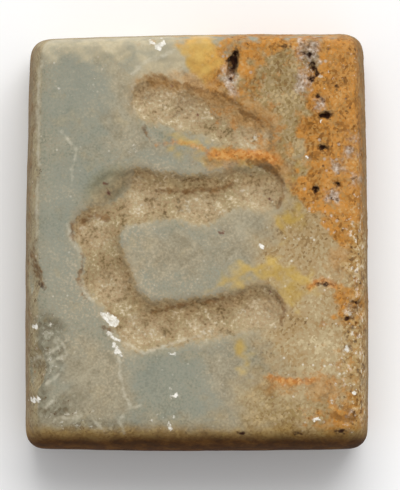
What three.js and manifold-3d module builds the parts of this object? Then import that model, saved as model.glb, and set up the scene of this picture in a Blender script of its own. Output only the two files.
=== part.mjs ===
// A stone stamp seal: one small oblong block of hard stone with rounded shoulders, lying on its flat
// back with the carved face up. The carving is two channels, each a row of round sinkings that run
// into one another. Millimetres, +Z up. The origin is on the ground under the middle of the block,
// and +Y points to the head of the face.

import * as THREE from "three";
import { mergeVertices } from "three/addons/utils/BufferGeometryUtils.js";
import Module from "manifold-3d";

const wasm = await Module();
wasm.setup();

// The block: its outline at the belly, where it is widest
const LENGTH = 30;
const FOOT_WIDTH = 24.8;
const HEAD_WIDTH = 24.1;
const HEAD_SLANT = 0.35; // the head's left corner sits lower than its right one
const CORNER_RADIUS = 1.6;
const SIDE_BOW = 0.14;
const CORNER_SEGMENTS = 6;

// The block's side, from its flat back over the belly to its flat face
const THICKNESS = 10;
const BELLY_HEIGHT = 4.4;
const SHOULDER_POWER = 2.5; // 2 is an ellipse, and more is squarer
const SHOULDER_STEPS = 7;
const BACK_INSET = { left: 1.1, right: 1.1, head: 1.1, foot: 1.1 };
const FACE_INSET = { left: 1.4, right: 1.2, head: 0.65, foot: 2.1 };

// The carving: place and radius of each sinking at the level of the face
const STROKE = [
  [-2.9, 10.3, 1.85],
  [-1.1, 9.7, 1.75],
  [0.7, 9.2, 1.65],
  [2.5, 8.5, 1.65],
  [4.2, 7.8, 1.45],
];
const HOOK = [
  [4.7, 3.9, 1.75],
  [2.8, 3.9, 1.5],
  [0.3, 3.0, 1.9],
  [-2.0, 3.3, 1.75],
  [-4.1, 3.3, 2.1],
  [-5.9, 2.4, 1.6],
  [-7.2, 0.8, 1.75],
  [-6.7, -0.9, 1.45],
  [-6.4, -2.6, 1.8],
  [-5.4, -4.3, 1.5],
  [-4.0, -6.0, 1.95],
  [-2.1, -5.9, 1.8],
  [0.0, -5.6, 1.65],
  [2.2, -5.2, 1.65],
  [4.5, -4.7, 1.75],
];
const STROKE_DEPTH = 0.3; // a sinking's depth as a share of its radius
const HOOK_DEPTH = 0.37;
const LINK_SHARE = 0.94; // radius of the cut that links two neighbours, as a share of theirs
const LIFT_SHARE = 1.3; // how far over the face the tool's middle stood, as a share of the depth it cut

// Shallow wear beside the carving, natural holes in the stone, and knocks on its rim
const WORN_SLOPES = [
  { place: [-1.2, 11.7], size: [3.3, 1.6], depth: 0.3, turn: -8 },
  { place: [-6.2, 3.6], size: [1.7, 1.5], depth: 0.35, turn: 30 },
];
const HOLES = [
  { place: [2.55, 12.55], size: [0.4, 1.3], depth: 0.8, turn: -8 },
  { place: [8.35, 12.3], size: [0.25, 0.75], depth: 0.5, turn: 12 },
  { place: [9.25, 9.1], size: [0.5, 0.25], depth: 0.5, turn: 0 },
  { place: [9.1, 6.8], size: [0.45, 0.2], depth: 0.4, turn: 0 },
  { place: [8.55, 3.75], size: [0.22, 0.35], depth: 0.45, turn: 10 },
];
const CHIPS = [
  { at: [-13.0, -2.6, 10.0], radius: 1.9 },
  { at: [-13.4, -9.2, 10.6], radius: 2.6 },
  { at: [0.0, 15.3, 10.1], radius: 0.6 },
  { at: [12.9, -4.8, 9.9], radius: 1.4 },
];
const TOOL_SEGMENTS = 16;
const SMALL_TOOL_SEGMENTS = 12;
const CHIP_SEGMENTS = 20;

// Outline of the block at its belly: four sides, each slightly bowed, and four round corners.
function outline() {
  const foot = -LENGTH / 2;
  const head = LENGTH / 2;
  const corners = [
    new THREE.Vector2(-FOOT_WIDTH / 2, foot),
    new THREE.Vector2(FOOT_WIDTH / 2, foot),
    new THREE.Vector2(HEAD_WIDTH / 2, head),
    new THREE.Vector2(-HEAD_WIDTH / 2, head - HEAD_SLANT),
  ];
  const shape = new THREE.Shape();
  corners.forEach((corner, i) => {
    const before = corners[(i + 3) % 4];
    const after = corners[(i + 1) % 4];
    const arrive = corner.clone().add(before.clone().sub(corner).setLength(CORNER_RADIUS));
    const leave = corner.clone().add(after.clone().sub(corner).setLength(CORNER_RADIUS));
    if (i === 0) shape.moveTo(arrive.x, arrive.y);
    shape.quadraticCurveTo(corner.x, corner.y, leave.x, leave.y);
    const end = after.clone().add(corner.clone().sub(after).setLength(CORNER_RADIUS));
    const out = new THREE.Vector2(end.y - leave.y, leave.x - end.x).setLength(2 * SIDE_BOW);
    const middle = leave.clone().add(end).multiplyScalar(0.5).add(out);
    shape.quadraticCurveTo(middle.x, middle.y, end.x, end.y);
  });
  return shape;
}

// Levels of the block from back to face: height, and the share of the back's or face's inset there.
function levels() {
  const shoulder = [];
  for (let i = 0; i <= SHOULDER_STEPS; i++) {
    const angle = (i / SHOULDER_STEPS) * (Math.PI / 2);
    const rise = Math.sin(angle) ** (2 / SHOULDER_POWER);
    const share = 1 - Math.cos(angle) ** (2 / SHOULDER_POWER);
    shoulder.push({ rise, share });
  }
  const below = shoulder.slice(1).reverse();
  return [
    ...below.map(({ rise, share }) => ({
      height: BELLY_HEIGHT * (1 - rise),
      share,
      inset: BACK_INSET,
    })),
    ...shoulder.map(({ rise, share }) => ({
      height: BELLY_HEIGHT + (THICKNESS - BELLY_HEIGHT) * rise,
      share,
      inset: FACE_INSET,
    })),
  ];
}

// The uncut block: the outline raised one step for each level, then each level drawn in by its inset.
function block() {
  const rings = levels();
  const geometry = new THREE.ExtrudeGeometry(outline(), {
    depth: rings.length - 1,
    steps: rings.length - 1,
    bevelEnabled: false,
    curveSegments: CORNER_SEGMENTS,
  });
  geometry.computeBoundingBox();
  const { min, max } = geometry.boundingBox;
  const position = geometry.getAttribute("position");
  for (let i = 0; i < position.count; i++) {
    const { height, share, inset } = rings[Math.round(position.getZ(i))];
    const x = THREE.MathUtils.mapLinear(
      position.getX(i), min.x, max.x, min.x + share * inset.left, max.x - share * inset.right);
    const y = THREE.MathUtils.mapLinear(
      position.getY(i), min.y, max.y, min.y + share * inset.foot, max.y - share * inset.head);
    position.setXYZ(i, x, y, height);
  }
  return geometry;
}

// A round tool that cuts an oval of the given half sizes at the level of the face, down to a depth.
function tool({ place, size, depth, turn = 0 }, segments = TOOL_SEGMENTS) {
  const lift = depth * LIFT_SHARE;
  const reach = depth + lift;
  const widen = 1 / Math.sqrt(1 - (lift / reach) ** 2);
  const geometry = new THREE.SphereGeometry(1, segments, Math.round(segments / 2));
  geometry.rotateX(Math.PI / 2);
  geometry.scale(size[0] * widen, size[1] * widen, reach);
  geometry.rotateZ(THREE.MathUtils.degToRad(turn));
  geometry.translate(place[0], place[1], THICKNESS + lift);
  return geometry;
}

// The tools of one channel: each sinking, and between two neighbours the cut that links them.
function channel(sinkings, depthShare) {
  const sink = ([x, y, radius]) =>
    tool({ place: [x, y], size: [radius, radius], depth: radius * depthShare });
  const links = sinkings.slice(1).map((sinking, i) =>
    sinking.map((value, axis) => ((value + sinkings[i][axis]) / 2) * (axis === 2 ? LINK_SHARE : 1)));
  return [...sinkings, ...links].map(sink);
}

// A knock on the rim, as a ball that reaches into the block from outside it.
function chip({ at, radius }) {
  const geometry = new THREE.SphereGeometry(radius, CHIP_SEGMENTS, CHIP_SEGMENTS / 2);
  return geometry.translate(...at);
}

// A closed geometry as a solid that can be cut.
function solid(geometry) {
  geometry.deleteAttribute("normal");
  geometry.deleteAttribute("uv");
  const merged = mergeVertices(geometry, 1e-4);
  return new wasm.Manifold(new wasm.Mesh({
    numProp: 3,
    vertProperties: merged.getAttribute("position").array,
    triVerts: new Uint32Array(merged.index.array),
  }));
}

// A solid back as a geometry with its own normals.
function geometryOf(made) {
  const mesh = made.getMesh();
  const geometry = new THREE.BufferGeometry();
  geometry.setAttribute("position", new THREE.BufferAttribute(mesh.vertProperties, 3));
  geometry.setIndex(new THREE.BufferAttribute(mesh.triVerts, 1));
  geometry.computeVertexNormals();
  return geometry;
}

// The carved stone
const cutters = [
  ...channel(STROKE, STROKE_DEPTH),
  ...channel(HOOK, HOOK_DEPTH),
  ...WORN_SLOPES.map((slope) => tool(slope)),
  ...HOLES.map((hole) => tool(hole, SMALL_TOOL_SEGMENTS)),
  ...CHIPS.map(chip),
];
const carved = cutters.reduce((stone, cutter) => stone.subtract(solid(cutter)), solid(block()));

const stone = new THREE.Mesh(
  geometryOf(carved),
  new THREE.MeshStandardMaterial({ color: 0x9f9985, roughness: 0.45, metalness: 0 }),
);
stone.name = "seal_stone";

const seal = new THREE.Group();
seal.add(stone);

export default seal;
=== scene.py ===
"""A carved stone stamp seal that lies on its flat back with the carved face up.

The seal is one block of grey-green chalcedony. Its form is the solid of the frame. This script gives that
form its finer relief and its finishes: the rubbed face, the pecked hollows of the carving, the band of iron
stain with its natural holes, fresh chips, and the earth on the flanks. Some finishes paint light and shade:
a glow at the head, shade on the hollows' upper walls and in creases, light on their lower lips, highlights
and glints on edges, shadow beside chips, and a near-black foot. The stone is worked in millimetres and
brought to metres when it is finished.
"""

import logging
import math
from collections.abc import Iterable
from dataclasses import dataclass, field
from enum import Enum
from typing import Any, NamedTuple

import bpy
import numpy as np
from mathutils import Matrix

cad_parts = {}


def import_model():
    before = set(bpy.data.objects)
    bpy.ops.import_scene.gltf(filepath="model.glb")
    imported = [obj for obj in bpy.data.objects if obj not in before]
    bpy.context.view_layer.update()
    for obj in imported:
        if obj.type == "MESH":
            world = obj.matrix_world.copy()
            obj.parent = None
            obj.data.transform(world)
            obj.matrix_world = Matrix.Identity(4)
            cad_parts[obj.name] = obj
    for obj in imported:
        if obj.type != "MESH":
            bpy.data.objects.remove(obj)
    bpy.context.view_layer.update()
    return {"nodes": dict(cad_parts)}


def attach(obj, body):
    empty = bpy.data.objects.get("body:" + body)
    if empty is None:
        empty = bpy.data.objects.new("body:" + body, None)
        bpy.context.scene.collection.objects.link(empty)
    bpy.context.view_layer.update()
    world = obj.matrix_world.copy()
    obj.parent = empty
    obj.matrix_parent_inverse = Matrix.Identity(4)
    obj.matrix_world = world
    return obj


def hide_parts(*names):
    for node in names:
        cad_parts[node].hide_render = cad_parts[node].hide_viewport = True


LOG = logging.getLogger("stamp_seal")
MM = 0.001

Socket = bpy.types.NodeSocket
Colour = tuple[float, float, float, float]

# Shades of a finish, from dark to light, each with its place between 0 and 1
Tones = tuple[tuple[float, str], ...]
DARK_PLACE = 0.3
LIGHT_PLACE = 0.7

# Waves that give an area its natural outline: the heading of each in radians, and its share of the size
WAVES = ((0.7, 1.0), (2.1, 0.62), (3.9, 0.41), (5.2, 0.27))
WAVE_CLIMB = 0.5
WAVE_SKEW = 1.3
WAVE_LEAD = 1.0

# Detail of a finish's clouds, grit and edge
CLOUD_DETAIL = 3.0
CLOUD_TWIST = 0.5
GRIT_DETAIL = 1.0
EDGE_DETAIL = 5.0
EDGE_SWING = 4.0
GLOSS_SPREAD = 0.08

# Least length of a level direction, so that a level point has a side too, and the steepness of the face
TINY = 1e-6
FACE_STEEPNESS = -1.0


class Area(Enum):
    """An area of the stone, named as the mesh attribute that says where it lies.

    The attribute holds how far a point is inside the area's edge, in millimetres. For the flanks and their
    edge it holds how steep the stone is instead.
    """

    HOLLOW = "hollow"
    FLOOR = "floor"
    WORN = "worn"
    BARE = "bare"
    IRON = "iron"
    TAN = "tan"
    OLIVE = "olive"
    BLUE = "blue"
    PALE = "pale"
    DUST = "dust"
    OCHRE = "ochre"
    RUST = "rust"
    STREAK = "streak"
    AMBER = "amber"
    CRYSTAL = "crystal"
    CHIP = "chip"
    DOT = "dot"
    HOLE = "hole"
    SEAM = "seam"
    LINE = "line"
    BRUISE = "bruise"
    CRUMB = "crumb"
    WALL = "wall"
    LIP = "lip"
    RIM = "rim"
    FLANK = "flank"
    EDGE = "edge"
    FOOT = "foot"
    FLECK = "fleck"
    PIT = "pit"
    SPOT = "spot"
    WHOLE = "whole"


# Stains that run through the stone, from its face to its back, and the painted light at the head that does
# too
THROUGH = (Area.IRON, Area.TAN, Area.OLIVE, Area.BLUE, Area.PALE, Area.DUST, Area.OCHRE, Area.AMBER)

# Areas where a finish lies only in scattered flecks, as thick in the middle as near the edge
SCATTERED = (Area.FLECK, Area.PIT, Area.SPOT)

# Areas that the carving's own sinkings give
CARVED = (Area.HOLLOW, Area.FLOOR, Area.WALL, Area.LIP, Area.RIM)

# Areas with an even outline
EVEN = (Area.SEAM, Area.FOOT)


class Pattern(Enum):
    """A pattern in a finish: soft clouds or specks, or hard-edged grains."""

    SOFT = "ShaderNodeTexNoise"
    BROKEN = "ShaderNodeTexVoronoi"


class Grain(Enum):
    """The pattern of a roughened surface."""

    LUMPS = "CLOUDS"
    PECKS = "VORONOI"


def linear(colour: str) -> Colour:
    """Turns an sRGB hex colour to linear light.

    Args:
        colour: The colour as "#rrggbb".

    Returns:
        Red, green, blue and a full alpha.
    """
    parts = [int(colour[i : i + 2], 16) / 255 for i in (1, 3, 5)]
    red, green, blue = (c / 12.92 if c <= 0.04045 else ((c + 0.055) / 1.055) ** 2.4 for c in parts)
    return red, green, blue, 1.0


def evenly(*shades: str) -> Tones:
    """Gives shades, as "#rrggbb" from dark to light, even places in the middle of a finish's range."""
    return tuple(zip(np.linspace(DARK_PLACE, LIGHT_PLACE, len(shades)), shades))


def ease(values: np.ndarray, low: float, high: float) -> np.ndarray:
    """Gives each value a weight that rises smoothly from 0 at low to 1 at high."""
    share = np.clip((values - low) / (high - low), 0, 1)
    return share * share * (3 - 2 * share)


def stray(points: np.ndarray, size: float, reach: float) -> np.ndarray:
    """Moves points about in waves, so that an area measured there gets a natural outline.

    Args:
        points: Rows of x, y and z.
        size: The length of the longest wave, in millimetres.
        reach: How far a point may move, in millimetres.

    Returns:
        The moved points.
    """
    moved = points.copy()
    for heading, share in WAVES:
        run = points @ np.array((math.cos(heading), math.sin(heading), WAVE_CLIMB))
        phase = run * math.tau / (size * share) + heading
        moved[:, 0] += reach * share * np.sin(phase)
        moved[:, 1] += reach * share * np.cos(WAVE_SKEW * phase + WAVE_LEAD)
    return moved


def rows(values: bpy.types.bpy_prop_collection, name: str) -> np.ndarray:
    """Reads one vector of each item of a mesh's collection.

    Args:
        values: The mesh's points or their normals.
        name: The vector's name there.

    Returns:
        Rows of x, y and z.
    """
    flat = np.zeros(len(values) * 3, np.float32)
    values.foreach_get(name, flat)
    return flat.reshape(-1, 3)


def choose(piece: bpy.types.Object) -> None:
    """Selects one object alone and makes it the active one.

    Args:
        piece: The object.
    """
    bpy.ops.object.select_all(action="DESELECT")
    piece.select_set(True)
    bpy.context.view_layer.objects.active = piece


def add_node(
    tree: bpy.types.NodeTree, kind: str, inputs: dict[int | str, Any], **settings: Any
) -> bpy.types.Node:
    """Adds one node with its settings, values and links.

    Args:
        tree: The node tree that takes the node.
        kind: The node's type.
        inputs: A value, or an output to link, for each input by its name or number.
        **settings: The node's own properties.

    Returns:
        The new node.
    """
    node = tree.nodes.new(kind)
    for name, value in settings.items():
        setattr(node, name, value)
    for key, value in inputs.items():
        named = [socket for socket in node.inputs if socket.enabled and socket.name == key]
        socket = named[0] if named else node.inputs[key]
        if isinstance(value, bpy.types.NodeSocket):
            tree.links.new(value, socket)
        else:
            socket.default_value = value
    return node


@dataclass(frozen=True)
class Patch:
    """An oval on the face, seen from above, in millimetres and degrees anticlockwise."""

    x: float
    y: float
    half_width: float
    half_height: float
    turn: float = 0.0

    def inside(self, points: np.ndarray) -> np.ndarray:
        """Says how far points are inside the oval.

        Args:
            points: Rows of x, y and z.

        Returns:
            Millimetres inside the oval's edge, below 0 outside it.
        """
        angle = math.radians(self.turn)
        aside = points[:, 0] - self.x
        up = points[:, 1] - self.y
        along = (aside * math.cos(angle) + up * math.sin(angle)) / self.half_width
        across = (up * math.cos(angle) - aside * math.sin(angle)) / self.half_height
        return (1 - np.hypot(along, across)) * min(self.half_width, self.half_height)


@dataclass(frozen=True)
class Seam:
    """A thin line on the face through a row of points, in millimetres."""

    points: tuple[tuple[float, float], ...]
    half_width: float

    def inside(self, points: np.ndarray) -> np.ndarray:
        """Says how far points are inside the line.

        Args:
            points: Rows of x, y and z.

        Returns:
            Millimetres inside the line's edge, below 0 outside it.
        """
        nearest = np.full(len(points), np.inf)
        for start, end in zip(self.points, self.points[1:]):
            base = np.array(start)
            run = np.array(end) - base
            share = np.clip((points[:, :2] - base) @ run / (run @ run), 0, 1)
            gap = points[:, :2] - base - share[:, None] * run
            nearest = np.minimum(nearest, np.hypot(gap[:, 0], gap[:, 1]))
        return self.half_width - nearest


def ovals(*sizes: tuple[float, ...]) -> tuple[Patch, ...]:
    """Makes a patch from each row: x, y, half width, half height and, for a turned oval, degrees."""
    return tuple(Patch(*size) for size in sizes)


def deepest(shapes: Iterable[Patch | Seam], points: np.ndarray) -> np.ndarray:
    """Says how many millimetres points are inside the nearest of some shapes, below 0 outside them all."""
    return np.max([shape.inside(points) for shape in shapes], axis=0)


@dataclass(frozen=True)
class Carving:
    """The two channels of the face, each a row of round sinkings: x, y and radius in millimetres."""

    stroke: tuple[tuple[float, float, float], ...] = (
        (-2.9, 10.3, 1.85), (-1.1, 9.7, 1.75), (0.7, 9.2, 1.65), (2.5, 8.5, 1.65), (4.2, 7.8, 1.45),
    )
    hook: tuple[tuple[float, float, float], ...] = (
        (4.7, 3.9, 1.75), (2.8, 3.9, 1.5), (0.3, 3.0, 1.9), (-2.0, 3.3, 1.75), (-4.1, 3.3, 2.1),
        (-5.9, 2.4, 1.6), (-7.2, 0.8, 1.75), (-6.7, -0.9, 1.45), (-6.4, -2.6, 1.8), (-5.4, -4.3, 1.5),
        (-4.0, -6.0, 1.95), (-2.1, -5.9, 1.8), (0.0, -5.6, 1.65), (2.2, -5.2, 1.65), (4.5, -4.7, 1.75),
    )
    link_share: float = 0.94

    def patches(self) -> tuple[Patch, ...]:
        """Lists the sinkings, and between two neighbours the cut that links them.

        Returns:
            One round patch for each cut.
        """
        cuts = []
        for channel in (self.stroke, self.hook):
            cuts += channel
            for (x0, y0, r0), (x1, y1, r1) in zip(channel, channel[1:]):
                cuts.append(((x0 + x1) / 2, (y0 + y1) / 2, (r0 + r1) / 2 * self.link_share))
        return tuple(Patch(x, y, radius, radius) for x, y, radius in cuts)


@dataclass(frozen=True)
class Marks:
    """What the stone's growth and its age left on it, and where light and shade are painted on it, area by
    area.
    """

    iron: tuple[Patch, ...] = ovals(
        (10.5, 8.45, 2.9, 7.3), (8.9, 3.75, 1.9, 1.7), (10.95, 1.43, 1.74, 1.8), (6.03, 14.45, 5.5, 0.75),
        (1.25, 12.07, 0.8, 2.1, -5), (3.6, 12.58, 0.7, 2.0), (2.04, 10.48, 1.5, 0.5),
        (5.1, 6.2, 0.9, 0.6), (5.45, 5.34, 1.1, 0.6, -30), (11.4, -4.5, 1.5, 1.5),
        (10.9, -12.6, 1.9, 1.2, 20), (1.9, 13.9, 0.7, 0.7),
    )
    tan: tuple[Patch, ...] = ovals((9.2, -4.22, 5.4, 7.6), (8.4, -11.45, 4.6, 3.2), (8.0, 1.2, 2.2, 2.6))
    olive: tuple[Patch, ...] = ovals(
        (5.4, 10.6, 4.2, 4.3), (5.2, 7.2, 3.6, 2.6), (2.6, 9.6, 3.0, 1.5, -20), (7.47, -12.54, 4.34, 1.0),
        (7.0, 5.2, 1.2, 2.0), (4.9, -11.0, 1.0, 1.5), (7.2, 2.8, 1.0, 1.2),
    )
    blue: tuple[Patch, ...] = ovals(
        (-8.3, 9.9, 2.6, 4.0), (-8.2, 4.9, 1.9, 1.4), (-9.9, 1.5, 1.2, 4.2), (-2.2, -9.6, 2.6, 2.0),
        (0.6, -12.0, 2.6, 1.2), (-9.7, -9.9, 1.0, 1.6, 25), (-4.54, -12.76, 0.7, 0.9),
        (-4.1, 13.4, 1.3, 0.8), (-3.0, 6.4, 2.6, 0.7),
    )
    pale: tuple[Patch, ...] = ovals(
        (-6.4, 14.3, 5.0, 0.7), (-3.2, 14.7, 1.6, 0.5), (-2.3, 12.6, 2.7, 1.1, 15),
    )
    dust: tuple[Patch, ...] = ovals(
        (-5.3, 9.5, 1.2, 2.6), (-1.5, -0.9, 3.2, 1.6), (-5.2, 6.9, 2.6, 0.6), (3.6, 0.6, 2.6, 2.4),
        (2.6, -9.6, 1.8, 2.6), (-7.36, -10.37, 2.8, 3.4), (-9.9, -12.9, 2.9, 1.4),
        (0.24, -13.5, 11.9, 0.5),
    )
    amber: tuple[Patch, ...] = ovals((0.3, 12.75, 0.95, 1.5, 8), (0.2, 14.3, 1.2, 0.5))
    worn: tuple[Patch, ...] = ovals((-6.3, 4.0, 2.0, 1.15, 36))
    bare: tuple[Patch, ...] = ovals(
        (-3.9, 3.0, 1.5, 1.3), (0.3, 2.3, 1.6, 1.2, -10), (4.6, 3.2, 1.6, 1.3), (-7.4, 0.6, 1.2, 1.2),
        (-6.2, -3.4, 1.4, 1.3, -40), (-3.9, -6.4, 1.8, 1.2, 10), (4.6, -5.2, 1.8, 1.2, 15),
        (0.6, -6.2, 1.8, 0.8, 10), (-3.0, 10.2, 1.7, 1.4, -20), (-0.8, 9.5, 1.4, 1.1, -15),
        (3.9, 7.4, 1.1, 1.0),
    )
    slope: tuple[Patch, ...] = ovals((-1.2, 11.7, 3.3, 1.6, -8), (-6.2, 3.6, 1.7, 1.5, 30))
    foot: tuple[Patch, ...] = ovals((0.0, -17.2, 60.0, 3.2))
    fleck: tuple[Patch, ...] = ovals(
        (11.0, -8.9, 1.6, 4.6), (10.9, 2.0, 1.2, 2.2), (-10.8, -7.6, 1.3, 2.6), (-8.6, -12.8, 2.4, 0.7),
        (-7.6, -11.1, 0.5, 1.0), (-1.6, -10.9, 0.5, 0.7), (-2.4, -12.9, 0.9, 0.7),
        (-10.1, 10.6, 0.35, 0.6), (-7.6, 11.3, 0.35, 0.6), (-4.8, 6.6, 0.6, 0.5), (3.6, 7.4, 1.0, 0.9),
        (8.0, 1.2, 2.2, 1.6), (9.6, 12.6, 2.0, 1.6),
    )
    pit: tuple[Patch, ...] = ovals(
        (10.0, 8.0, 2.0, 6.6), (11.2, -4.0, 1.0, 7.6), (9.8, -11.8, 2.2, 2.2), (-11.2, -7.4, 1.0, 4.4),
        (-9.0, -12.6, 3.0, 1.2), (6.4, 13.9, 5.0, 0.8), (-11.8, 3.0, 0.6, 9.0), (3.4, 6.2, 2.2, 0.35),
    )
    spot: tuple[Patch, ...] = ovals(
        (4.9, 10.0, 4.0, 4.6), (9.6, -12.2, 2.6, 2.0), (10.6, -5.0, 1.8, 2.6), (6.9, -10.1, 1.8, 0.7),
        (10.4, -9.0, 1.6, 3.0), (3.6, 6.2, 2.6, 0.6),
    )
    rust: tuple[Patch, ...] = ovals(
        (-1.6, 11.3, 2.0, 0.45, -12), (-0.4, 11.7, 1.3, 0.5, -15), (2.0, 5.8, 1.5, 0.45),
        (5.1, 6.6, 0.9, 0.6), (10.7, -1.4, 1.3, 1.0), (9.1, -10.5, 1.2, 1.0), (6.1, -10.4, 1.3, 0.5),
        (1.3, 10.6, 2.3, 0.8, -25), (3.9, 9.1, 2.1, 1.1, -20), (5.9, 5.4, 1.2, 0.6, -40),
        (3.4, 6.2, 2.3, 0.5),
    )
    ochre: tuple[Patch | Seam, ...] = (
        Seam(((1.9, -2.9), (3.2, -2.35), (4.9, -2.0), (6.2, -2.1), (7.6, -2.8)), 0.5),
        *ovals(
            (0.45, 13.01, 1.23, 1.74), (3.35, -7.98, 0.58, 0.94), (-0.78, 7.36, 0.87, 0.43),
            (6.39, -3.64, 1.3, 0.72), (2.04, 6.13, 1.74, 0.43), (6.9, 1.9, 0.45, 0.5),
            (6.3, 1.0, 0.4, 0.5), (6.7, 4.4, 0.4, 0.8),
        ),
    )
    crystal: tuple[Patch, ...] = ovals(
        (8.05, 13.73, 0.8, 1.0), (7.69, 11.56, 0.5, 1.0), (10.15, 5.48, 0.58, 0.43),
        (11.45, 4.47, 0.36, 0.29), (8.78, 9.9, 0.25, 0.4), (2.42, 12.1, 0.4, 0.7, -8),
        (2.55, 10.91, 0.29, 0.51), (9.79, 3.31, 0.36, 0.51), (11.09, 6.64, 0.4, 0.8),
        (11.53, -2.48, 0.3, 0.72), (11.31, -4.8, 0.43, 0.43),
    )
    chip: tuple[Patch, ...] = ovals(
        (-6.57, -5.37, 0.36, 0.25, -30), (-6.06, -5.74, 0.47, 0.36, -40), (-6.28, -6.6, 0.25, 0.13, -20),
        (-5.92, -6.97, 0.29, 0.13, -25), (-5.99, -7.4, 0.18, 0.18), (-5.7, -7.84, 0.47, 0.2, -55),
        (-3.24, 14.39, 0.22, 0.18), (-2.73, 14.02, 0.29, 0.25), (-2.44, 14.39, 0.14, 0.22),
        (-11.64, -11.38, 0.36, 0.18), (-11.6, -6.1, 0.22, 0.16), (4.72, -0.38, 0.29, 0.14, -25),
        (8.63, -12.76, 0.29, 0.14), (-1.72, -8.05, 0.22, 0.09), (-1.65, -11.09, 0.29, 0.12, 30),
        (-1.94, -13.26, 0.12, 0.3, 15), (7.98, 6.1, 0.15, 0.12), (8.92, 8.74, 0.11, 0.11),
        (10.8, -7.69, 0.2, 0.2), (11.38, -10.88, 0.14, 0.22),
    )
    dot: tuple[Patch, ...] = ovals(
        (-6.57, 4.18, 0.15, 0.15), (-6.4, 3.55, 0.2, 0.12, -30), (1.76, 0.63, 0.16, 0.14),
        (5.3, 3.02, 0.14, 0.12), (5.3, -3.64, 0.12, 0.12), (-1.79, 11.2, 0.12, 0.12),
        (0.09, 9.1, 0.13, 0.13),
    )
    hole: tuple[Patch, ...] = ovals(
        (2.8, 13.59, 0.18, 0.36, -15), (2.48, 13.16, 0.36, 0.18, 40), (2.7, 12.9, 0.24, 0.75, -12),
        (2.42, 11.75, 0.2, 0.15, -20), (7.69, 13.59, 0.22, 0.14), (8.12, 13.44, 0.25, 0.18),
        (8.34, 12.87, 0.18, 0.2), (8.41, 12.5, 0.18, 0.22), (8.63, 12.07, 0.18, 0.18),
        (8.27, 11.71, 0.2, 0.2), (8.7, 10.48, 0.22, 0.14, -30), (9.07, 10.19, 0.18, 0.11),
        (9.28, 9.1, 0.51, 0.25, 5), (9.07, 6.79, 0.43, 0.18), (8.56, 3.75, 0.22, 0.29),
        (10.15, 4.18, 0.22, 0.18), (10.15, 11.13, 0.14, 0.14), (6.17, 14.1, 0.29, 0.11),
        (9.86, 3.02, 0.22, 0.11), (9.21, -3.06, 0.65, 0.11), (11.45, -4.36, 0.36, 0.14),
        (10.88, -5.52, 0.43, 0.11), (11.16, -6.17, 0.18, 0.07), (3.2, -13.77, 0.22, 0.14),
        (7.33, -13.77, 0.29, 0.14), (10.37, -13.63, 0.36, 0.14), (-11.2, -3.13, 0.36, 0.09, -40),
    )
    bruise: tuple[Patch, ...] = ovals(
        (-10.9, -7.6, 1.5, 2.4), (-11.4, -10.4, 0.8, 1.8), (-10.2, -12.0, 1.8, 0.8, 20),
        (-7.6, -13.4, 3.2, 0.6),
    )
    crumb: tuple[Patch, ...] = ovals(
        (11.6, -1.6, 0.9, 2.8), (11.5, -7.6, 1.1, 3.6), (11.7, -11.4, 0.7, 2.2),
    )
    seam: tuple[Seam, ...] = (
        Seam(((-5.63, -7.84), (-5.56, -9.28), (-5.19, -11.09), (-4.76, -11.82)), 0.08),
        Seam(((-4.11, -11.82), (-5.12, -12.11), (-5.56, -12.9), (-5.19, -13.77)), 0.06),
        Seam(((-9.32, 1.21), (-9.03, 0.13), (-8.45, -0.74)), 0.08),
        Seam(((-8.45, -3.13), (-7.87, -3.85), (-7.36, -4.43)), 0.07),
        # This line is the hook's pale lower lip: wear, and painted light where it faces the light
        Seam(((-5.19, -7.25), (-3.75, -8.05), (-2.3, -7.47), (0.24, -6.75)), 0.08),
        Seam(((-4.54, 12.14), (-3.96, 12.72), (-3.24, 13.08), (-2.3, 13.5), (-1.6, 13.9)), 0.13),
        # This line and the next, along the left edge, are a painted highlight on its arris
        Seam(((-11.2, 13.01), (-11.35, 11.71), (-11.42, 9.54), (-11.42, 6.64), (-11.35, 5.56)), 0.11),
        Seam(((-11.45, 4.47), (-11.5, 2.66), (-11.5, 0.4)), 0.08),
        # The next seven lines, in the knocked edge at the lower left, are pale fractures with painted
        # glints on their broken edges
        Seam(((-11.7, -8.4), (-11.2, -8.3), (-10.5, -8.75), (-10.0, -8.4), (-9.5, -8.3)), 0.1),
        Seam(((-10.75, -8.05), (-10.3, -7.85), (-9.95, -7.6)), 0.08),
        Seam(((-10.0, -7.0), (-9.65, -7.3), (-9.35, -8.05)), 0.08),
        Seam(((-10.8, -10.2), (-10.4, -10.0), (-9.9, -9.5)), 0.09),
        Seam(((-10.25, -11.2), (-10.6, -11.6), (-10.9, -11.95)), 0.08),
        Seam(((-10.3, -12.85), (-9.7, -12.65), (-8.8, -12.75), (-8.3, -12.55)), 0.08),
        Seam(((-7.5, -12.75), (-6.9, -13.4)), 0.06),
        Seam(((-9.68, 7.94), (-9.17, 7.22), (-8.67, 6.64)), 0.06),
        Seam(((-8.67, 6.5), (-8.96, 5.19), (-9.03, 4.11)), 0.04),
    )
    streak: tuple[Seam, ...] = (
        Seam(((5.3, -9.75), (6.3, -10.0), (7.3, -10.05), (8.3, -10.0)), 0.2),
        Seam(((8.1, -3.3), (8.6, -2.9), (9.3, -2.8), (9.9, -3.15)), 0.2),
        Seam(((1.0, 6.4), (2.0, 6.25), (3.2, 6.3), (4.6, 6.2), (5.6, 5.9)), 0.35),
        Seam(((-2.9, 7.0), (-1.2, 7.2), (-0.2, 6.9), (0.8, 6.6)), 0.05),
    )
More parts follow.
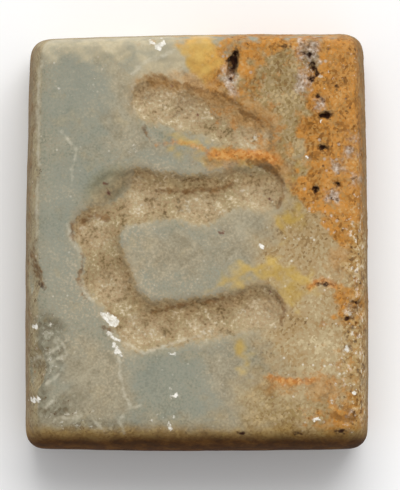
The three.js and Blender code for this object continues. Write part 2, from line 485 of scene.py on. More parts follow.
    line: tuple[Seam, ...] = (
        Seam(
            ((-3.4, 11.8), (-2.7, 11.9), (-1.7, 11.5), (-0.5, 11.1), (2.04, 10.62), (3.13, 9.54),
             (4.72, 8.45)), 0.1,
        ),
        Seam(((-3.75, 8.45), (-3.53, 7.6), (-3.17, 7.0)), 0.06),
        Seam(((3.9, 5.75), (4.9, 5.5), (5.7, 5.0)), 0.3),
        # This line and the next darken the creases under the upper walls of the hook's arms: painted shade,
        # with brown earth
        Seam(((-2.9, 3.67), (-0.49, 3.6), (1.32, 3.75), (2.77, 4.18)), 0.1),
        Seam(((-3.38, -5.09), (-1.21, -4.65), (1.32, -4.22), (3.49, -3.64)), 0.08),
        Seam(((-8.1, 1.5), (-7.3, 1.9), (-6.4, 1.6)), 0.16),
        Seam(((-11.9, -0.6), (-11.7, -1.5), (-11.4, -2.4)), 0.14),
        Seam(((-11.5, -1.6), (-11.3, -2.6), (-10.9, -3.3)), 0.08),
        Seam(((5.75, 5.0), (6.2, 4.2), (6.25, 3.4), (5.9, 2.6)), 0.1),
        Seam(((5.4, -3.6), (6.1, -4.2), (6.3, -5.0), (6.0, -5.9)), 0.07),
        Seam(((9.8, -12.4), (10.6, -12.9), (11.4, -12.7)), 0.2),
        Seam(((10.3, -11.9), (11.2, -12.2)), 0.12),
        Seam(((11.2, -1.8), (11.5, -3.2)), 0.1),
        Seam(((10.5, -5.65), (11.3, -5.3)), 0.12),
        Seam(((11.0, -6.2), (11.5, -6.6)), 0.08),
        # This line and the next are painted shadow beside the white chips by the hook
        Seam(((-6.25, -5.15), (-5.65, -5.25), (-5.2, -5.45)), 0.07),
        Seam(((-6.6, -6.15), (-6.1, -6.4)), 0.06),
        Seam(((-8.9, 1.5), (-9.05, 0.6), (-8.75, -0.4), (-8.2, -1.0)), 0.05),
        Seam(((-8.2, -1.6), (-8.5, -2.6), (-8.2, -3.8), (-7.6, -4.5)), 0.05),
    )


@dataclass(frozen=True)
class Bench:
    """The stone's node tree and the object coordinates in it, with short ways to add nodes."""

    tree: bpy.types.NodeTree
    place: Socket

    def pattern(self, kind: Pattern, size: float, **values: float) -> bpy.types.NodeOutputs:
        """Adds a pattern of a size in millimetres, with its other inputs by name."""
        inputs = {"Vector": self.place, "Scale": 1 / (size * MM), **values}
        return add_node(self.tree, kind.value, inputs).outputs

    def reckon(self, operation: str, *values: Socket | float) -> Socket:
        """Works out one sum of two or three values."""
        inputs = dict(enumerate(values))
        return add_node(self.tree, "ShaderNodeMath", inputs, operation=operation).outputs[0]

    def fade(
        self,
        value: Socket,
        start: float,
        end: float,
        least: float = 0.0,
        most: float = 1.0,
        **settings: Any,
    ) -> Socket:
        """Turns a value's run from start to end into a run from least to most."""
        inputs = {"Value": value, "From Min": start, "From Max": end, "To Min": least, "To Max": most}
        return add_node(self.tree, "ShaderNodeMapRange", inputs, **settings).outputs[0]

    def mix(self, mask: Socket, under: Socket, over: Socket | float) -> Socket:
        """Lays one value over another where the mask is."""
        return add_node(self.tree, "ShaderNodeMix", {"Factor": mask, "A": under, "B": over}).outputs[0]

    def paint(self, mask: Socket, under: Socket, over: Socket | Colour) -> Socket:
        """Lays one colour over another where the mask is."""
        layers = {"Factor": mask, "A": under, "B": over}
        return add_node(self.tree, "ShaderNodeMix", layers, data_type="RGBA").outputs[2]


class Coat(NamedTuple):
    """What one finish leaves for the next that is laid over it."""

    colour: Socket
    roughness: Socket
    height: Socket


@dataclass(frozen=True)
class Specks:
    """Scattered dots in a finish: how far apart they lie, in millimetres, how many show, and their size."""

    colour: str
    spacing: float
    share: float
    size: float
    cover: float = 1.0

    def over(self, bench: Bench, colour: Socket) -> Socket:
        """Scatters the dots over a colour.

        Args:
            bench: The stone's node tree.
            colour: The colour under the dots.

        Returns:
            The colour with the dots on it.
        """
        cells = bench.pattern(Pattern.BROKEN, self.spacing)
        shown = bench.reckon("LESS_THAN", cells["Color"], self.share)
        spot = bench.fade(cells["Distance"], self.size, self.size / 2, most=self.cover)
        return bench.paint(bench.reckon("MULTIPLY", shown, spot), colour, linear(self.colour))


class Finish:
    """One look of the stone.

    It has tones from dark to light, clouds and grit of a size in millimetres, and a surface with its
    gloss, relief and specks. It lies in one area, with an edge that wanders, and covers a share of what
    is under it.
    """

    tones: Tones
    roughness: float
    cloud: float = 1.0
    grit: float = 0.16
    contrast: float = 0.4
    break_up: Pattern = Pattern.SOFT
    relief: float = 0.0
    specks: tuple[Specks, ...] = ()
    area: Area = Area.WHOLE
    ragged: float = 0.0
    wander: float = 1.0
    edge: float = 0.1
    inset: float = 0.0
    fray: float = 0.55
    cover: float = 1.0

    def lay(self, bench: Bench, under: Coat | None) -> Coat:
        """Lays this finish over the one under it.

        Args:
            bench: The stone's node tree.
            under: What lies under this finish, or nothing.

        Returns:
            The sockets of the two together.
        """
        cloud = bench.pattern(Pattern.SOFT, self.cloud, Detail=CLOUD_DETAIL, Distortion=CLOUD_TWIST)[0]
        grit = self.grains(bench)
        colour = self.shade(bench, cloud, grit)
        if under is None:
            glossy, dull = self.roughness - GLOSS_SPREAD, self.roughness + GLOSS_SPREAD
            shine = bench.fade(cloud, 0.0, 1.0, glossy, dull)
            return Coat(colour, shine, self.lift(bench, grit))
        mask = self.mask(bench)
        height = under.height
        if self.relief:
            height = bench.mix(mask, height, self.lift(bench, grit))
        mixed = bench.paint(mask, under.colour, colour)
        return Coat(mixed, bench.mix(mask, under.roughness, self.roughness), height)

    def grains(self, bench: Bench) -> Socket:
        """Makes the finish's finest grain, from 0 to 1."""
        if self.break_up is Pattern.BROKEN:
            return bench.pattern(self.break_up, self.grit)["Color"]
        return bench.pattern(self.break_up, self.grit, Detail=GRIT_DETAIL)[0]

    def lift(self, bench: Bench, grit: Socket) -> Socket:
        """Raises the grain to the finish's relief, in metres."""
        return bench.reckon("MULTIPLY", grit, self.relief * MM)

    def shade(self, bench: Bench, cloud: Socket, grit: Socket) -> Socket:
        """Turns clouds and grit to the finish's own colour.

        Args:
            bench: The stone's node tree.
            cloud: The soft change of tone.
            grit: The finest grain.

        Returns:
            The colour with its specks.
        """
        lifted = bench.reckon("MULTIPLY_ADD", grit, self.contrast, cloud)
        tone = bench.reckon("SUBTRACT", lifted, self.contrast / 2)
        ramp = add_node(bench.tree, "ShaderNodeValToRGB", {0: tone})
        stops = ramp.color_ramp.elements
        while len(stops) < len(self.tones):
            stops.new(1.0)
        for stop, (position, shade) in zip(stops, self.tones):
            stop.position = position
            stop.color = linear(shade)
        colour = ramp.outputs[0]
        for specks in self.specks:
            colour = specks.over(bench, colour)
        return colour

    def mask(self, bench: Bench) -> Socket:
        """Works out where the finish lies, with an edge that wanders.

        Args:
            bench: The stone's node tree.

        Returns:
            The finish's cover, from 0 to its most.
        """
        swing = EDGE_SWING * self.ragged
        middle = swing / 2 + self.inset
        area = add_node(bench.tree, "ShaderNodeAttribute", {}, attribute_name=self.area.value)
        waver = bench.pattern(Pattern.SOFT, self.wander, Detail=EDGE_DETAIL, Roughness=self.fray)[0]
        edge = bench.reckon("MULTIPLY_ADD", waver, swing, area.outputs["Fac"])
        low, high = middle - self.edge, middle + self.edge
        return bench.fade(edge, low, high, most=self.cover, interpolation_type="SMOOTHSTEP")


class SmallMark(Finish):
    """A finish that only small marks have: one fine grain, with little change of tone."""

    cloud = 0.5
    grit = 0.15
    contrast = 0.3


class Scatter(SmallMark):
    """A small mark that lies in many loose flecks."""

    ragged = 0.5
    fray = 0.7


class RubbedFace(Finish):
    """Grey-green chalcedony, ground flat and rubbed: soft clouds of tone under a waxy gloss."""

    tones = (
        (0.2, "#7d7966"), (0.36, "#8a8a77"), (0.46, "#958b76"), (0.54, "#8e8f7e"), (0.64, "#9c927b"),
        (0.8, "#aea48d"),
    )
    roughness = 0.5
    cloud = 5.0
    contrast = 0.85
    relief = 0.006
    specks = (
        Specks("#7c7258", 0.4, 0.6, 0.2, 0.35),
        Specks("#bab49e", 0.4, 0.6, 0.2, 0.4),
        Specks("#d2cbb8", 0.8, 0.6, 0.13, 0.5),
    )


class BlueCloud(Finish):
    """A bluish cloud in the chalcedony, where it is clearest."""

    tones = evenly("#80857a", "#878a7d", "#8f9081")
    roughness = 0.42
    cloud = 2.5
    contrast = 0.3
    break_up = Pattern.BROKEN
    area = Area.BLUE
    ragged = 0.5
    wander = 3.0
    edge = 1.0
    cover = 0.5


class PaleHead(Finish):
    """Painted light near the head: clear stone made pale where light comes through the edge and falls on
    it.
    """

    tones = evenly("#b9ac8e", "#c7b896", "#d4c6a5")
    roughness = 0.42
    cloud = 1.6
    grit = 0.2
    area = Area.PALE
    ragged = 0.25
    wander = 2.5
    edge = 1.0
    cover = 0.85


class DullDust(Finish):
    """Face that has lost its polish: a thin tan bloom with a fine dull grain."""

    tones = evenly("#86785d", "#9a8d73", "#aca085")
    roughness = 0.6
    cloud = 1.2
    contrast = 0.6
    area = Area.DUST
    ragged = 0.6
    wander = 1.6
    edge = 0.8
    cover = 0.6


class TanBloom(Finish):
    """Weathered chalcedony that iron has turned tan: sandy, with pale grains and dark pores."""

    tones = (
        (0.15, "#75582f"), (0.34, "#a08356"), (0.48, "#ab9169"), (0.62, "#ad9871"), (0.86, "#c8b68f"),
    )
    roughness = 0.55
    cloud = 5.0
    contrast = 0.55
    break_up = Pattern.BROKEN
    relief = 0.012
    specks = (
        Specks("#5e4426", 0.6, 0.7, 0.16, 0.5),
        Specks("#e3dcca", 0.7, 0.5, 0.16, 0.7),
    )
    area = Area.TAN
    ragged = 0.8
    wander = 2.5
    edge = 1.6
    cover = 0.92


class OliveStain(Finish):
    """Chalcedony with a thin olive-brown stain, half clear."""

    tones = ((0.22, "#785b31"), (0.42, "#917a4c"), (0.58, "#9b8560"), (0.8, "#b49c70"))
    roughness = 0.5
    cloud = 1.6
    grit = 0.17
    contrast = 0.6
    break_up = Pattern.BROKEN
    area = Area.OLIVE
    ragged = 0.6
    wander = 2.0
    edge = 1.0
    cover = 0.95


class OchreVein(Finish):
    """A vein of honey-yellow chalcedony, glossy and half clear."""

    tones = ((0.3, "#a8883c"), (0.5, "#bc9c4c"), (0.72, "#d0b061"))
    roughness = 0.35
    cloud = 1.5
    grit = 0.2
    contrast = 0.3
    area = Area.OCHRE
    ragged = 0.3
    edge = 0.5
    cover = 0.75


class IronCrust(Finish):
    """A band that iron oxide has stained rust: mottled, with a dull crust between crystals."""

    tones = (
        (0.22, "#7d5019"), (0.36, "#9b6523"), (0.43, "#aa7f44"), (0.5, "#b17326"), (0.57, "#b78443"),
        (0.66, "#bf7f30"), (0.8, "#c3985e"),
    )
    roughness = 0.6
    cloud = 1.5
    grit = 0.18
    contrast = 0.48
    break_up = Pattern.BROKEN
    relief = 0.02
    specks = (
        Specks("#4a2812", 0.6, 0.45, 0.2, 0.75),
        Specks("#b8a796", 0.7, 0.5, 0.22, 0.7),
    )
    area = Area.IRON
    ragged = 0.6
    edge = 0.4
    cover = 0.95


class AmberFacet(Finish):
    """A clear honey-coloured facet at the head, with a painted glow where light comes through the edge."""

    tones = ((0.3, "#c39850"), (0.5, "#cda355"), (0.72, "#dab15e"))
    roughness = 0.3
    cloud = 1.2
    grit = 0.2
    contrast = 0.3
    area = Area.AMBER
    ragged = 0.2
    edge = 0.6
    cover = 0.8


class BruisedEdge(Finish):
    """Rough broken stone where the edge was knocked: grey-green, with earth in its pits."""

    tones = ((0.22, "#564a34"), (0.42, "#6d6653"), (0.6, "#7d7863"), (0.8, "#9f9a87"))
    roughness = 0.55
    cloud = 0.9
    grit = 0.22
    contrast = 0.5
    break_up = Pattern.BROKEN
    relief = 0.02
    area = Area.BRUISE
    ragged = 0.5
    wander = 1.2
    edge = 0.6
    cover = 0.75


class WornSlope(Finish):
    """A shallow slope beside the carving, dull and olive grey."""

    tones = evenly("#6f6950", "#7e785d", "#8d886e")
    roughness = 0.6
    cloud = 0.9
    area = Area.WORN
    ragged = 0.15
    wander = 0.9
    edge = 0.5
    cover = 0.8


class SmoothWall(Finish):
    """The sides of a hollow, which wear has left smoother than its floor: dull olive tan."""

    tones = evenly("#84785a", "#968565", "#a99876")
    roughness = 0.65
    contrast = 0.5
    break_up = Pattern.BROKEN
    area = Area.HOLLOW
    ragged = 0.12
    wander = 0.8
    edge = 0.08
    cover = 0.85


class PeckedHollow(Finish):
    """Stone that was pecked away point by point: a matt sandy grain of pale bruises and brown earth."""

    tones = (
        (0.2, "#594529"), (0.36, "#816e4b"), (0.47, "#9d8463"), (0.55, "#948460"), (0.66, "#aa9774"),
        (0.82, "#d2c5aa"),
    )
    roughness = 0.75
    grit = 0.2
    contrast = 0.65
    relief = 0.03
    area = Area.FLOOR
    ragged = 0.3
    wander = 0.6
    edge = 0.25
    inset = 0.15


class BareGrain(Finish):
    """The deepest part of a sinking, where the bruised grain is bare of earth: cream and faintly pink."""

    tones = (
        (0.2, "#685234"), (0.36, "#988463"), (0.48, "#b69c7c"), (0.58, "#ad9c79"), (0.72, "#c8b99c"),
        (0.86, "#dfd5bf"),
    )
    roughness = 0.75
    cloud = 0.9
    grit = 0.21
    contrast = 0.9
    area = Area.BARE
    ragged = 0.45
    wander = 0.9
    edge = 0.6
    cover = 0.55


class WornAndLitLip(Finish):
    """The lower rim of a hollow, worn round and dull, and pale with painted light where it faces the light.
    """

    tones = evenly("#a09274", "#b4a584", "#c9ba9a")
    roughness = 0.7
    cloud = 0.7
    grit = 0.18
    area = Area.LIP
    ragged = 0.25
    wander = 0.8
    edge = 0.3
    cover = 0.25


class ShadedWall(Finish):
    """Painted shade, with some brown earth, on the hollows' upper walls, which face away from the light."""

    tones = ((0.25, "#604423"), (0.42, "#856540"), (0.58, "#987951"), (0.78, "#b6976d"))
    roughness = 0.7
    cloud = 0.8
    grit = 0.2
    contrast = 0.75
    area = Area.WALL
    ragged = 0.2
    wander = 0.9
    edge = 0.6
    cover = 0.4


class CrystalLining(Finish):
    """Small grey quartz crystals that line the stone's own cavities."""

    tones = ((0.22, "#4f3c2c"), (0.42, "#86725f"), (0.56, "#a39384"), (0.7, "#bdb0a2"), (0.85, "#dcd4c8"))
    roughness = 0.35
    cloud = 0.6
    grit = 0.2
    contrast = 0.9
    relief = 0.04
    area = Area.CRYSTAL
    ragged = 0.4
    wander = 0.6
    edge = 0.35
    cover = 0.8


class RustWash(Finish):
    """A thin wash of rust that has run into the carving."""

    tones = evenly("#7f5828", "#a87a42", "#be9664")
    roughness = 0.65
    cloud = 0.9
    contrast = 0.5
    area = Area.RUST
    ragged = 0.35
    wander = 0.7
    edge = 0.4
    cover = 0.65


class OrangeStreak(Finish):
    """A thin streak of clear orange iron stain along a crack."""

    tones = evenly("#a8611b", "#c0782e", "#cf9653")
    roughness = 0.55
    cloud = 0.6
    contrast = 0.5
    break_up = Pattern.BROKEN
    specks = (
        Specks("#6a3812", 0.5, 0.5, 0.24, 0.6),
        Specks("#dcae72", 0.45, 0.4, 0.22, 0.6),
    )
    area = Area.STREAK
    ragged = 0.15
    wander = 0.6
    edge = 0.22
    cover = 0.75


class EarthFilm(Finish):
    """A film of brown earth that handling has left on the flanks."""

    tones = evenly("#7f643c", "#9b875e", "#b19e77")
    roughness = 0.8
    cloud = 1.2
    contrast = 0.5
    break_up = Pattern.BROKEN
    specks = (
        Specks("#3a2410", 0.5, 0.6, 0.22, 0.7),
        Specks("#a8682a", 0.6, 0.5, 0.25, 0.6),
        Specks("#ded5c2", 0.6, 0.4, 0.2, 0.7),
    )
    area = Area.FLANK
    ragged = 0.25
    wander = 1.2
    edge = 0.35
    cover = 0.6


class EdgeEarth(Finish):
    """Darker earth, with a little rust, on the steepest part of the flanks."""

    tones = evenly("#4e3316", "#6c4a22", "#8a6232")
    roughness = 0.9
    grit = 0.2
    contrast = 0.5
    area = Area.EDGE
    ragged = 0.2
    edge = 0.3
    inset = 0.66
    cover = 0.52


class CrumbledEdge(Finish):
    """An edge that has crumbled to its grain: rust, dark earth and bare white grains side by side."""

    tones = (
        (0.2, "#4a2f15"), (0.34, "#835e2c"), (0.46, "#a27c46"), (0.58, "#ad9262"), (0.7, "#c4ab7e"),
        (0.82, "#e6dcc8"),
    )
    roughness = 0.7
    cloud = 0.7
    grit = 0.19
    contrast = 0.6
    break_up = Pattern.BROKEN
    relief = 0.03
    area = Area.CRUMB
    ragged = 0.45
    wander = 0.7
    edge = 0.4
    cover = 0.7


class OrangeSpot(Scatter):
    """Small spots of orange iron oxide."""

    tones = evenly("#8f5a22", "#ac7231", "#bf8a4a")
    roughness = 0.65
    cloud = 0.6
    grit = 0.16
    contrast = 0.4
    area = Area.SPOT
    wander = 0.7
    edge = 0.12
    inset = 0.16
    cover = 0.5


class FootStain(Finish):
    """Golden-brown earth, thin over the rounded edge at the foot."""

    tones = evenly("#6f4f1c", "#8a682e", "#9e7e40")
    roughness = 0.8
    cloud = 1.4
    break_up = Pattern.BROKEN
    area = Area.FOOT
    ragged = 0.3
    wander = 1.5
    edge = 0.5
    inset = -0.55
    cover = 0.75


class FootShadeAndEarth(Finish):
    """Near-black brown on the foot of the seal: painted shade, as that side faces away from the light, and
    dark earth.
    """

    tones = evenly("#331a06", "#452607", "#5c3a12")
    roughness = 1.0
    cloud = 1.2
    grit = 0.2
    area = Area.FOOT
    ragged = 0.1
    wander = 1.5
    edge = 0.45
    cover = 0.95


class EarthAndShadeLine(SmallMark):
    """Brown earth caught in a crease or a crack, with painted shade in the creases under the hook's walls
    and beside the chips.
    """

    tones = evenly("#4a2e14", "#68451f", "#835c30")
    roughness = 0.75
    cloud = 0.6
    contrast = 0.4
    area = Area.LINE
    ragged = 0.25
    wander = 0.8
    edge = 0.15
    cover = 0.7


class DarkPit(Scatter):
    """Small pits filled with dark brown earth."""

    tones = evenly("#2e190b", "#573618")
    roughness = 0.85
    area = Area.PIT
    wander = 0.5
    inset = 0.28
    cover = 0.85


class WhiteFleckAndGlint(Scatter):
    """Small white flecks where the stone is bruised, which in the knocked edge also stand for painted
    glints.
    """

    tones = evenly("#bdb5a2", "#e6e1d5")
    roughness = 0.6
    area = Area.FLECK
    wander = 0.45
    inset = 0.27
    cover = 0.65


class PaleSeam(SmallMark):
    """The healed line of a crack, where the stone is bruised pale, and painted highlights and glints on
    arris and broken edges.
    """

    tones = evenly("#b3ab94", "#d2cbb6")
    roughness = 0.5
    contrast = 0.5
    area = Area.SEAM
    ragged = 0.15
    wander = 0.5
    edge = 0.14
    cover = 0.5


class FreshChip(SmallMark):
    """A fresh break: white, sugary stone."""

    tones = ((0.3, "#bdb5a3"), (0.6, "#ece8de"))
    roughness = 0.5
    cloud = 0.4
    contrast = 0.4
    relief = 0.02
    area = Area.CHIP
    ragged = 0.06
    wander = 0.4
    edge = 0.05


class BrownDot(SmallMark):
    """A small pore filled with brown earth."""

    tones = evenly("#43201a", "#6b3a2c")
    roughness = 0.8
    area = Area.DOT
    ragged = 0.03
    wander = 0.3
    cover = 0.85


class DarkHole(SmallMark):
    """The inside of a natural hole, filled with dark earth."""

    tones = evenly("#24120a", "#452816")
    roughness = 0.9
    area = Area.HOLE
    ragged = 0.06
    wander = 0.3


@dataclass(frozen=True)
class Roughening:
    """One pass of roughening: where it works, its pattern, and its size and depth in millimetres."""

    area: Area
    grain: Grain
    size: float
    depth: float


@dataclass
class SealStone:
    """The carved stone, from the solid of the frame to the dressed piece."""

    name: str = "carved_seal"
    node: str = "seal_stone"
    carving: Carving = Carving()
    marks: Marks = Marks()
    # Heights of the face, of the flanks' upper edge, and down to which small marks go
    face_height: float = 10.0
    face_side: float = 8.8
    mark_floor: float = 7.8
    # The mesh: the gap that is welded, the voxels, the most triangles, and how often each area is softened
    weld: float = 1e-3
    voxel: float = 0.115
    triangles: int = 190_000
    softness: float = 0.5
    flank_rounds: int = 40
    hollow_rounds: int = 4
    rim_rounds: int = 5
    last_rounds: int = 2
    # The natural holes
    hole_depth: float = 0.8
    hole_steepness: float = 2.5
    hole_lumps: float = 0.4
    hole_detail: int = 2
    # The hollows' lips, walls, floors and rims, and the light's side, for their painted shade and light
    worn_lip: float = 0.15
    lip_width: float = 0.4
    wall_reach: float = 1.5
    wall_overlap: float = 0.1
    floor_shift: float = 0.15
    rim_width: float = 0.5
    lit_side: tuple[float, float] = (0.1, 0.99)
    # How level the stone is where each flank, and the dark edge of the right one, starts
    flank_left: float = 0.73
    flank_right: float = 0.3
    edge_right: float = 1.45
    flank_head: float = 0.1
    flank_foot: float = 0.85
    # Wave size and reach of the outlines, how far from its edge an area is measured, and how it eases in
    stain_and_glow_stray: tuple[float, float] = (2.6, 0.35)
    mark_stray: tuple[float, float] = (0.6, 0.07)
    stain_and_painted_light_range: float = 4.0
    mark_range: float = 2.0
    ease_range: tuple[float, float] = (-0.1, 0.3)
    least_weight: float = 0.001
    # The stone's own gloss
    refraction: float = 1.54
    gloss: float = 0.12
    passes: tuple[Roughening, ...] = (
        Roughening(Area.WHOLE, Grain.LUMPS, 5.0, 0.08),
        Roughening(Area.FLANK, Grain.LUMPS, 3.0, 0.08),
        Roughening(Area.HOLLOW, Grain.LUMPS, 1.2, 0.1),
        Roughening(Area.FLOOR, Grain.PECKS, 0.35, 0.06),
        Roughening(Area.TAN, Grain.LUMPS, 0.6, 0.02),
        Roughening(Area.IRON, Grain.LUMPS, 0.5, 0.1),
        Roughening(Area.BRUISE, Grain.PECKS, 0.9, 0.14),
        Roughening(Area.CHIP, Grain.LUMPS, 0.5, 0.3),
    )
    finishes: tuple[Finish, ...] = (
        RubbedFace(), BlueCloud(), PaleHead(), DullDust(), TanBloom(), OliveStain(), OchreVein(),
        IronCrust(), AmberFacet(), BruisedEdge(), WornSlope(), SmoothWall(), PeckedHollow(), BareGrain(),
        WornAndLitLip(), ShadedWall(), CrystalLining(), RustWash(), OrangeStreak(), EarthFilm(), EdgeEarth(),
        CrumbledEdge(), OrangeSpot(), FootStain(), FootShadeAndEarth(), EarthAndShadeLine(), DarkPit(), WhiteFleckAndGlint(),
        PaleSeam(), FreshChip(), BrownDot(), DarkHole(),
    )
    piece: bpy.types.Object | None = field(default=None, init=False)

    def build(self, solid: bpy.types.Object) -> bpy.types.Object:
        """Makes the stone from the frame's solid.

        Args:
            solid: The solid's object, which is left as it is.

        Returns:
            The finished piece, in metres at the origin.
        """
        self.copy_form(solid)
        self.open_holes()
        self.refine()
        self.roughen()
        self.thin()
        self.mark()
        self.resize(MM)
        bpy.ops.object.shade_smooth()
        return self.piece

    def copy_form(self, solid: bpy.types.Object) -> None:
        """Copies the solid's form into a new object, in millimetres, with its corners merged.

        Args:
            solid: The solid's object, which is left as it is.
        """
        mesh = solid.data.copy()
        mesh.name = self.name
        mesh.materials.clear()
        self.piece = bpy.data.objects.new(self.name, mesh)
        bpy.context.scene.collection.objects.link(self.piece)
        self.resize(1 / MM)
        bpy.ops.object.mode_set(mode="EDIT")
        bpy.ops.mesh.select_all(action="SELECT")
        bpy.ops.mesh.remove_doubles(threshold=self.weld)
        bpy.ops.object.mode_set(mode="OBJECT")

    def open_holes(self) -> None:
        """Opens the natural holes: a lumpy ball for each, all cut from the face together."""
        balls = []
        for number, hole in enumerate(self.marks.hole):
            bpy.ops.object.select_all(action="DESELECT")
            bpy.ops.mesh.primitive_ico_sphere_add(
                subdivisions=self.hole_detail, radius=1, location=(hole.x, hole.y, self.face_height),
                rotation=(0, 0, math.radians(hole.turn)),
            )
            ball = bpy.context.object
            bpy.ops.object.mode_set(mode="EDIT")
            bpy.ops.transform.vertex_random(offset=self.hole_lumps, seed=number)
            bpy.ops.object.mode_set(mode="OBJECT")
            depth = min(self.hole_depth, self.hole_steepness * hole.half_height)
            ball.scale = (hole.half_width, hole.half_height, depth)
            balls.append(ball)
        bpy.ops.object.select_all(action="DESELECT")
        for ball in balls:
            ball.select_set(True)
        bpy.context.view_layer.objects.active = balls[0]
        bpy.ops.object.join()
        bpy.ops.object.transform_apply(location=True, rotation=True, scale=True)
        cutter = bpy.context.object
        self.apply("BOOLEAN", object=cutter, operation="DIFFERENCE", use_self=True)
        bpy.data.objects.remove(cutter)

    def refine(self) -> None:
        """Lays a fine even mesh over the form, rounds the flanks, and softens every arris a little."""
        self.apply("REMESH", mode="VOXEL", voxel_size=self.voxel)
        self.group(Area.FLANK)
        self.group(Area.HOLLOW)
        self.soften(self.flank_rounds, Area.FLANK)
        self.group(Area.RIM)
        self.soften(self.hollow_rounds, Area.HOLLOW)
        self.soften(self.rim_rounds, Area.RIM)
        self.soften(self.last_rounds)

    def roughen(self) -> None:
        """Roughens each area with its own grain, and keeps the back on the ground."""
        for each in self.passes:
            self.group(each.area)
            texture = bpy.data.textures.new(each.area.value, each.grain.value)
            texture.noise_scale = each.size
            self.apply(
                "DISPLACE", texture=texture, texture_coords="LOCAL", strength=each.depth,
                vertex_group=each.area.value,
            )
            bpy.data.textures.remove(texture)
        points = self.points()
        points[:, 2] = np.maximum(points[:, 2], 0)
        self.piece.data.vertices.foreach_set("co", points.ravel())

    def thin(self) -> None:
        """Thins the mesh of the back and flanks, where the surface is plainer."""
        mesh = self.piece.data
        choose(self.piece)
        bpy.ops.object.mode_set(mode="EDIT")
        bpy.ops.mesh.select_mode(type="FACE")
        bpy.ops.mesh.select_all(action="SELECT")
        bpy.ops.mesh.quads_convert_to_tris()
        bpy.ops.mesh.select_all(action="DESELECT")
        bpy.ops.object.mode_set(mode="OBJECT")
        corners = np.zeros(len(mesh.polygons) * 3, np.int32)
        mesh.polygons.foreach_get("vertices", corners)
        plain = self.points()[corners.reshape(-1, 3), 2].mean(axis=1) < self.face_side
        mesh.polygons.foreach_set("select", plain)
        spare = self.triangles - int((~plain).sum())
        bpy.ops.object.mode_set(mode="EDIT")
        bpy.ops.mesh.decimate(ratio=min(1.0, spare / int(plain.sum())))
        bpy.ops.object.mode_set(mode="OBJECT")

    def mark(self) -> None:
        """Writes each area into the mesh for the finishes, in place of the groups it was worked with."""
        self.piece.vertex_groups.clear()
        for area in Area:
            if area not in (Area.WHOLE, Area.RIM):
                attribute = self.piece.data.attributes.new(area.value, "FLOAT", "POINT")
                attribute.data.foreach_set("value", self.inside(area).astype(np.float32))

    def dress(self) -> None:
        """Lays the finishes over one another in one material."""
        material = bpy.data.materials.new("weathered_chalcedony")
        material.use_nodes = True
        tree = material.node_tree
        tree.nodes.clear()
        bench = Bench(tree, add_node(tree, "ShaderNodeTexCoord", {}).outputs["Object"])
        coat = None
        for finish in self.finishes:
            coat = finish.lay(bench, coat)
        bump = add_node(tree, "ShaderNodeBump", {"Height": coat.height, "Distance": 1.0, "Strength": 1.0})
        surface = {
            "Base Color": coat.colour,
            "Roughness": coat.roughness,
            "IOR": self.refraction,
            "Specular IOR Level": self.gloss,
            "Normal": bump.outputs[0],
        }
        shader = add_node(tree, "ShaderNodeBsdfPrincipled", surface)
        add_node(tree, "ShaderNodeOutputMaterial", {"Surface": shader.outputs[0]})
        self.piece.data.materials.clear()
        self.piece.data.materials.append(material)

    def resize(self, factor: float) -> None:
        """Scales the piece's mesh about the origin.

        Args:
            factor: The new size as a share of the old.
        """
        choose(self.piece)
        self.piece.scale = (factor, factor, factor)
        bpy.ops.object.transform_apply(location=False, rotation=False, scale=True)

    def apply(self, kind: str, **settings: Any) -> None:
        """Adds a modifier to the piece and applies it.

        Args:
            kind: The modifier's type.
            **settings: The modifier's own properties.
        """
        choose(self.piece)
        modifier = self.piece.modifiers.new(kind.lower(), kind)
        for name, value in settings.items():
            setattr(modifier, name, value)
        bpy.ops.object.modifier_apply(modifier=modifier.name)

    def soften(self, rounds: int, area: Area | None = None) -> None:
        """Smooths the piece's mesh in rounds, all of it or in one area that has its group."""
        group = area.value if area else ""
        self.apply("SMOOTH", factor=self.softness, iterations=rounds, vertex_group=group)

    def points(self) -> np.ndarray:
        """Reads the mesh's points as rows of x, y and z."""
        return rows(self.piece.data.vertices, "co")

    def inside(self, area: Area) -> np.ndarray:
        """Says how far each point of the mesh is inside an area.

        Args:
            area: The area to measure.

        Returns:
            Millimetres inside the area's edge, below 0 outside it, or the steepness of a flank.
        """
        points = self.points()
        if area is Area.WHOLE:
            return np.ones(len(points))
        if area in (Area.FLANK, Area.EDGE):
            right = self.flank_right if area is Area.FLANK else self.edge_right
            return np.where(self.carved(points, Area.RIM) > 0, FACE_STEEPNESS, self.steep(right))
        strayed = points
        if area in THROUGH:
            strayed = stray(points, *self.stain_and_glow_stray)
        elif area not in EVEN:
            strayed = stray(points, *self.mark_stray)
        if area in CARVED:
            depth = self.carved(strayed, area)
        else:
            depth = deepest(getattr(self.marks, area.value), strayed)
        if area is Area.BARE:
            depth = np.minimum(depth, self.carved(strayed, Area.HOLLOW))
        if area in THROUGH or area is Area.FOOT:
            return np.clip(depth, -self.stain_and_painted_light_range, self.stain_and_painted_light_range)
        if area in SCATTERED:
            depth = np.minimum(depth, 0)
        depth = np.clip(depth, -self.mark_range, self.mark_range)
        return np.where(points[:, 2] > self.mark_floor, depth, -self.mark_range)

    def steep(self, right: float) -> np.ndarray:
        """Says how steep each point of the mesh is.

        Args:
            right: How level the stone is where its right flank starts.

        Returns:
            0 at the flank's upper edge, 1 where the flank is upright, and below 0 on the face.
        """
        across, along, up = rows(self.piece.data.vertex_normals, "vector").T
        side = across**2 / np.maximum(across**2 + along**2, TINY)
        aside = np.where(across < 0, self.flank_left, right)
        ahead = np.where(along < 0, self.flank_foot, self.flank_head)
        return np.maximum(1 - np.abs(up) / (aside * side + ahead * (1 - side)), FACE_STEEPNESS)

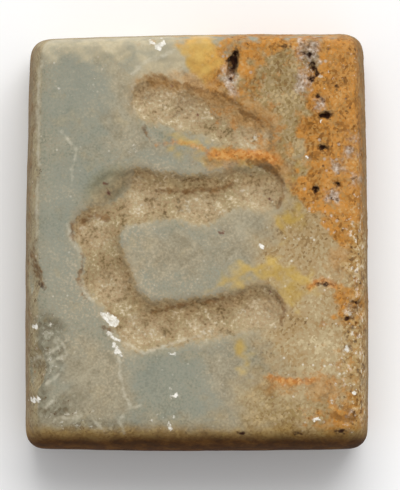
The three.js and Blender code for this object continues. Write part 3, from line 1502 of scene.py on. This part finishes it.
    def carved(self, points: np.ndarray, area: Area) -> np.ndarray:
        """Says how far points are inside one area of the carving.

        Args:
            points: Rows of x, y and z.
            area: The pecked hollows, their floors, walls at the head (painted shade), lips (painted light)
                or rims.

        Returns:
            Millimetres inside the area's edge, below 0 outside it.
        """
        cuts = self.carving.patches()
        inside = deepest(cuts, points)
        # Toward the light: walls on this side of a hollow get painted shade, lips on the far side painted
        # light
        toward_light = np.array((*self.lit_side, 0))
        if area is Area.WALL:
            above = deepest(cuts, points + self.wall_reach * toward_light)
            return np.minimum(inside + self.wall_overlap, -above)
        if area is Area.RIM:
            slopes = deepest(self.marks.slope, points)
            return np.maximum(self.rim_width - np.abs(inside), slopes + self.rim_width)
        worn = deepest(self.marks.worn, points)
        if area is Area.FLOOR:
            return np.minimum(deepest(cuts, points + self.floor_shift * toward_light), -worn)
        below = deepest(cuts, points - self.lip_width * toward_light)
        lip = np.minimum(inside + self.lip_width, -below)
        if area is Area.LIP:
            return lip
        return np.minimum(inside - self.worn_lip * (lip > 0), -worn)

    def group(self, area: Area) -> None:
        """Makes a vertex group of an area, with weights that ease in over its edge.

        Args:
            area: The area, whose name the group gets.
        """
        weights = ease(self.inside(area), *self.ease_range)
        old = self.piece.vertex_groups.get(area.value)
        if old:
            self.piece.vertex_groups.remove(old)
        group = self.piece.vertex_groups.new(name=area.value)
        for number in np.flatnonzero(weights > self.least_weight):
            group.add([int(number)], float(weights[number]), "REPLACE")


@dataclass
class Studio:
    """The pale floor, the soft light and the camera over the seal. Sizes are metres."""

    floor_size: float = 1.6
    floor_gap: float = 1e-5
    floor_colour: str = "#f6f6f6"
    floor_roughness: float = 0.9
    key_place: tuple[float, float, float] = (0.15, 0.76, 0.95)
    key_size: float = 1.0
    key_power: float = 13.3
    fill: float = 0.55
    camera_height: float = 1.0
    belly_height: float = 0.0044
    frame_long_side: float = 0.03547
    frame_centre: tuple[float, float] = (0.000235, -0.000235)
    sensor: float = 36.0

    def build(self) -> None:
        """Sets up the floor, the lights and the camera."""
        self.lay_floor()
        self.light()
        self.set_camera()

    def lay_floor(self) -> None:
        """Lays a plain floor of matt white card under the seal."""
        bpy.ops.object.select_all(action="DESELECT")
        bpy.ops.mesh.primitive_plane_add(size=self.floor_size, location=(0, 0, -self.floor_gap))
        floor = bpy.context.object
        floor.name = "floor"
        material = bpy.data.materials.new("white_card")
        material.use_nodes = True
        shader = material.node_tree.nodes["Principled BSDF"]
        shader.inputs["Base Color"].default_value = linear(self.floor_colour)
        shader.inputs["Roughness"].default_value = self.floor_roughness
        shader.inputs["Specular IOR Level"].default_value = 0.0
        floor.data.materials.append(material)

    def light(self) -> None:
        """Hangs one soft key light past the head of the seal, in a pale room."""
        bpy.ops.object.light_add(type="AREA", location=self.key_place)
        key = bpy.context.object
        key.name = "key_light"
        key.data.size = self.key_size
        key.data.energy = self.key_power
        key.rotation_euler = (-key.location).to_track_quat("-Z", "Y").to_euler()
        world = bpy.data.worlds.new("pale_room")
        world.use_nodes = True
        room = world.node_tree.nodes["Background"].inputs
        room["Strength"].default_value = self.fill
        room["Color"].default_value = (1, 1, 1, 1)
        bpy.context.scene.world = world
        bpy.context.scene.view_settings.view_transform = "Standard"

    def set_camera(self) -> None:
        """Hangs the camera straight over the seal, with the head of the face at the top of the picture."""
        x, y = self.frame_centre
        height = self.belly_height + self.camera_height
        bpy.ops.object.camera_add(location=(x, y, height), rotation=(0, 0, 0))
        camera = bpy.context.object
        camera.data.sensor_width = self.sensor
        camera.data.lens = self.sensor * self.camera_height / self.frame_long_side
        bpy.context.scene.camera = camera


def main() -> None:
    """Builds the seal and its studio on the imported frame."""
    logging.basicConfig(level=logging.INFO, format="%(message)s")
    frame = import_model()

    stone = SealStone()
    piece = stone.build(frame["nodes"][stone.node])
    stone.dress()
    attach(piece, "root")
    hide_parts(stone.node)
    LOG.info("%s: %d triangles", piece.name, len(piece.data.polygons))

    Studio().build()
    LOG.info("studio: floor, key light and camera")


if __name__ == "__main__":
    main()
